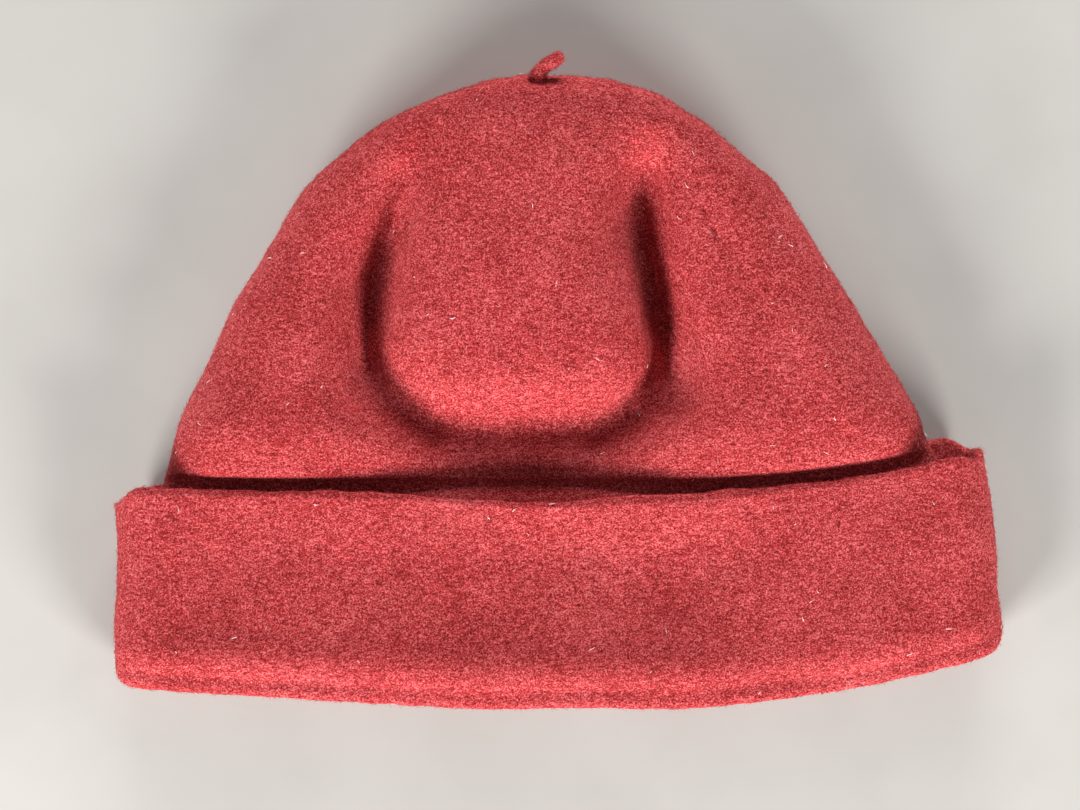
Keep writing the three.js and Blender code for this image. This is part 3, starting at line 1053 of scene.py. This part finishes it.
@dataclass
class Nap:
    """Loose wool fibres standing on the felt, each a slim closed spike of one or two lengths."""

    seed: int = 5
    thickness: float = 0.10

    def spikes(self, roots: np.ndarray, normals: np.ndarray, kind: Fibre) -> tuple:
        """Makes bent three-sided spikes.

        Args:
            roots: where they stand, in millimetres.
            normals: the felt's normals there.
            kind: the kind of fibre.

        Returns:
            Points and triangles.
        """
        rng = np.random.default_rng(self.seed + len(roots))
        count = len(roots)
        loose = rng.normal(size=(count, 3))
        flat = loose - np.einsum("ij,ij->i", loose, normals)[:, None] * normals
        flat /= np.linalg.norm(flat, axis=1, keepdims=True)
        rise = rng.uniform(*kind.lift, size=count)[:, None]
        size = rng.uniform(*kind.length, size=count)[:, None]
        first = flat * np.sqrt(1 - rise**2) + normals * rise
        side = np.cross(normals, flat)
        curl = side * rng.normal(scale=0.5, size=(count, 1)) - normals * kind.bend * rise
        second = flat * np.sqrt(1 - rise**2) + normals * rise + curl
        thick = self.thickness * rng.uniform(0.6, 1.25, size=count)[:, None]
        root = roots - normals * 0.05
        middle = root + first * size * 0.5
        tip = middle + second * size * 0.5
        corners = [flat * 0.0 + side, -side * 0.5 + normals * 0.87, -side * 0.5 - normals * 0.87]
        low = [root + corner * thick * 0.5 for corner in corners]
        high = [middle + corner * thick * 0.4 for corner in corners]
        points = np.stack([*low, *high, tip], axis=1).reshape(-1, 3)
        pattern = np.array([
            (0, 2, 1), (0, 1, 4), (0, 4, 3), (1, 2, 5), (1, 5, 4),
            (2, 0, 3), (2, 3, 5), (3, 4, 6), (4, 5, 6), (5, 3, 6),
        ])
        faces = (np.arange(count) * 7)[:, None, None] + pattern[None]
        return self.clear_of_table(points, faces.reshape(-1, 3))

    def clear_of_table(self, points: np.ndarray, faces: np.ndarray) -> tuple:
        """Leaves out the spikes that would dip into the table.

        Args:
            points: seven points of each spike.
            faces: ten triangles of each spike.

        Returns:
            Points and triangles of the spikes that stay.
        """
        spikes = points.reshape(-1, 7, 3)
        kept = spikes[spikes[..., 2].min(axis=1) > 0.05]
        return kept.reshape(-1, 3), faces[: len(kept) * 10]

    def roots(self, grid: dict[str, np.ndarray], shown: np.ndarray, count: int, seed: int) -> tuple:
        """Seeded places spread evenly over the shown quads of a grid.

        Args:
            grid: rings and normals.
            shown: weight of each ring and place round it.
            count: how many places.
            seed: seed of the draw.

        Returns:
            Places and normals.
        """
        rng = np.random.default_rng(seed)
        rings = grid["rings"]
        across = np.roll(rings, -1, axis=1)[:-1] - rings[:-1]
        along = rings[1:] - rings[:-1]
        area = np.linalg.norm(np.cross(across, along), axis=-1) * shown[:-1]
        chance = (area / area.sum()).ravel()
        picked = rng.choice(len(chance), size=count, p=chance)
        r, c = np.unravel_index(picked, area.shape)
        u, v = rng.random((2, count, 1))
        place = rings[r, c] + across[r, c] * u + along[r, c] * v
        return place, grid["normals"][r, c]


@dataclass
class CapNap:
    """Nap of the cap: matted fibres, standing hairs and white lint."""

    nap: Nap = field(default_factory=Nap)
    mats: int = 4
    fibres: int = 18500
    lint: int = 90
    lint_lift: float = 0.35

    def build(
        self, grid: dict[str, np.ndarray], outward: float
    ) -> list[tuple[bpy.types.Object, Slot]]:
        """Makes the nap's pieces.

        Args:
            grid: the cap's rings, normals and layer numbers.
            outward: sign that turns the normals out of the felt.

        Returns:
            Each piece with its slot.
        """
        grid = {**grid, "normals": grid["normals"] * outward}
        kinds, rings = grid["kinds"], grid["rings"]
        shown = np.zeros(rings.shape[:2])
        rise = rings[..., 1] - rings[..., 1].min()
        crown = kinds == Layer.CROWN.value
        shown[crown] = ease((rise - 70) / 4)[crown]
        for layer, share in NAP_SHARES:
            shown[kinds == layer.value] = share
        underneath = ease((-grid["normals"][..., 2] - 0.5) / 0.3)
        shown *= 1 - 0.93 * underneath
        pieces = []
        for number in range(self.mats):
            place, normal = self.nap.roots(grid, shown, self.fibres, 100 + number)
            kind = STANDING if number == self.mats - 1 else MATTED
            points, faces = self.nap.spikes(place, normal, kind)
            pieces.append((new_mesh(f"felt_nap_{number + 1}", points, faces), Slot.CAP))
        place, normal = self.nap.roots(grid, shown * (1 - underneath), self.lint, 7)
        white = Nap(seed=3, thickness=0.22)
        points, faces = white.spikes(place + normal * self.lint_lift, normal, WHITE_LINT)
        pieces.append((new_mesh("felt_lint", points, faces), Slot.CAP))
        return pieces


@dataclass
class StalkNap:
    """Nap of the stalk: short hairs all over it."""

    nap: Nap = field(default_factory=Nap)
    hairs: int = 700
    seed: int = 9

    def build(self, grid: dict[str, np.ndarray]) -> bpy.types.Object:
        """Makes the hairs.

        Args:
            grid: the stalk's rings and normals.

        Returns:
            The piece.
        """
        shown = np.ones(grid["rings"].shape[:2])
        place, normal = self.nap.roots(grid, shown, self.hairs, self.seed)
        return new_mesh("stalk_nap", *self.nap.spikes(place, normal, STALK_HAIR))


@dataclass(frozen=True)
class Lamp:
    """Area lamp that looks at the hat: place and size in metres, power in watts."""

    name: str
    place: tuple
    size: tuple
    power: float
    colour: tuple

    def build(self) -> None:
        """Adds the lamp to the scene."""
        data = bpy.data.lights.new(self.name, "AREA")
        data.shape = "RECTANGLE"
        data.size, data.size_y = self.size
        data.energy, data.color = self.power, self.colour
        lamp = bpy.data.objects.new(self.name, data)
        bpy.context.scene.collection.objects.link(lamp)
        lamp.location = self.place
        lamp.rotation_euler = (-Vector(self.place)).to_track_quat("-Z", "Y").to_euler()


LAMPS = (
    Lamp("key_left", (-0.88, -1.05, 0.55), (0.6, 0.4), 37.0, (1.0, 0.985, 0.97)),
    Lamp("crown_light", (0.05, 1.2, 0.32), (0.7, 0.3), 19.0, (1.0, 0.99, 0.98)),
    Lamp("key_right", (0.82, -1.07, 0.52), (0.55, 0.4), 28.5, (1.0, 0.985, 0.97)),
)


@dataclass
class Studio:
    """Pale floor, soft lights and the camera at the photograph's angle, in metres."""

    floor_half: float = 1.5
    floor_drop: float = 0.0002
    sky: float = 0.19
    across: float = 0.36
    height: float = 0.5
    centre_x: float = -0.0062
    above_fold: float = 0.0969

    def floor(self, plain: bpy.types.NodeTree) -> bpy.types.Object:
        """Makes the floor.

        Args:
            plain: the shared grain group.

        Returns:
            The floor.
        """
        half = self.floor_half / MM
        corners = np.array([[-half, -half, 0], [half, -half, 0], [half, half, 0], [-half, half, 0]])
        piece = new_mesh("floor", corners, np.array([[0, 1, 2, 3]]))
        piece.location.z = -self.floor_drop
        paint = PlainFinish("floor_paint", (0.44, 0.425, 0.405, 1), (0.47, 0.455, 0.435, 1), 18)
        piece.data.materials.append(paint.make(plain))
        return piece

    def build(self, plain: bpy.types.NodeTree) -> None:
        """Adds the floor, lights, sky and camera.

        Args:
            plain: the shared grain group.
        """
        scene = bpy.context.scene
        self.floor(plain)
        for lamp in LAMPS:
            lamp.build()
        scene.view_settings.view_transform = "Standard"
        world = bpy.data.worlds.new("sky")
        scene.world = world
        world.use_nodes = True
        background = world.node_tree.nodes["Background"]
        background.inputs["Color"].default_value = (1, 1, 1, 1)
        background.inputs["Strength"].default_value = self.sky
        data = bpy.data.cameras.new("photo_camera")
        data.sensor_width = 36
        data.lens = 36 * self.height / self.across
        camera = bpy.data.objects.new("photo_camera", data)
        scene.collection.objects.link(camera)
        camera.location = (self.centre_x, CAD_BOX[0].y + self.above_fold, self.height)
        scene.camera = camera


def dress(piece: bpy.types.Object, material: bpy.types.Material) -> None:
    """Puts a piece on its body with its finish and logs it.

    Args:
        piece: the piece.
        material: its finish.
    """
    piece.data.materials.append(material)
    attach(piece, "root")
    LOG.info("%s: %d faces, %s", piece.name, len(piece.data.polygons), material.name)


def main() -> None:
    """Builds the hat and its studio."""
    logging.basicConfig(level=logging.INFO, format="%(name)s: %(message)s")
    mottle, plain = wool_mottle_group(), plain_grain_group()
    cap_felt = WoolFelt("crimson_felt", knit=0.12).make(mottle)
    stalk_felt = WoolFelt("stalk_crimson_felt").make(mottle)
    nap_wool = WoolFelt(
        "nap_wool",
        deep=(0.18, 0.009, 0.010, 1),
        base=(0.44, 0.031, 0.034, 1),
        light=(0.72, 0.165, 0.175, 1),
        bump=0.0,
    ).make(mottle)
    lint = PlainFinish("white_lint", (0.86, 0.72, 0.70, 1), (0.9, 0.85, 0.82, 1), 900).make(plain)
    low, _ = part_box("felt_cap")
    cap = FeltCap()
    fold = -(cap.form.cuff_gap / 2 + cap.form.wall + cap.form.fold_nose)
    shift = np.array([0.0, low[1] / MM - fold, 0.0])
    shell, grid = cap.build(shift)
    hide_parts("felt_cap")
    dress(shell, cap_felt)
    stem, stem_grid = Stalk().build(cap.form, shift)
    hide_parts("stalk")
    dress(stem, stalk_felt)
    outward = -1.0
    for piece, slot in CapNap().build(grid, outward):
        dress(piece, lint if piece.name == "felt_lint" else nap_wool)
    dress(StalkNap().build(stem_grid), nap_wool)
    Studio().build(plain)


if __name__ == "__main__":
    main()
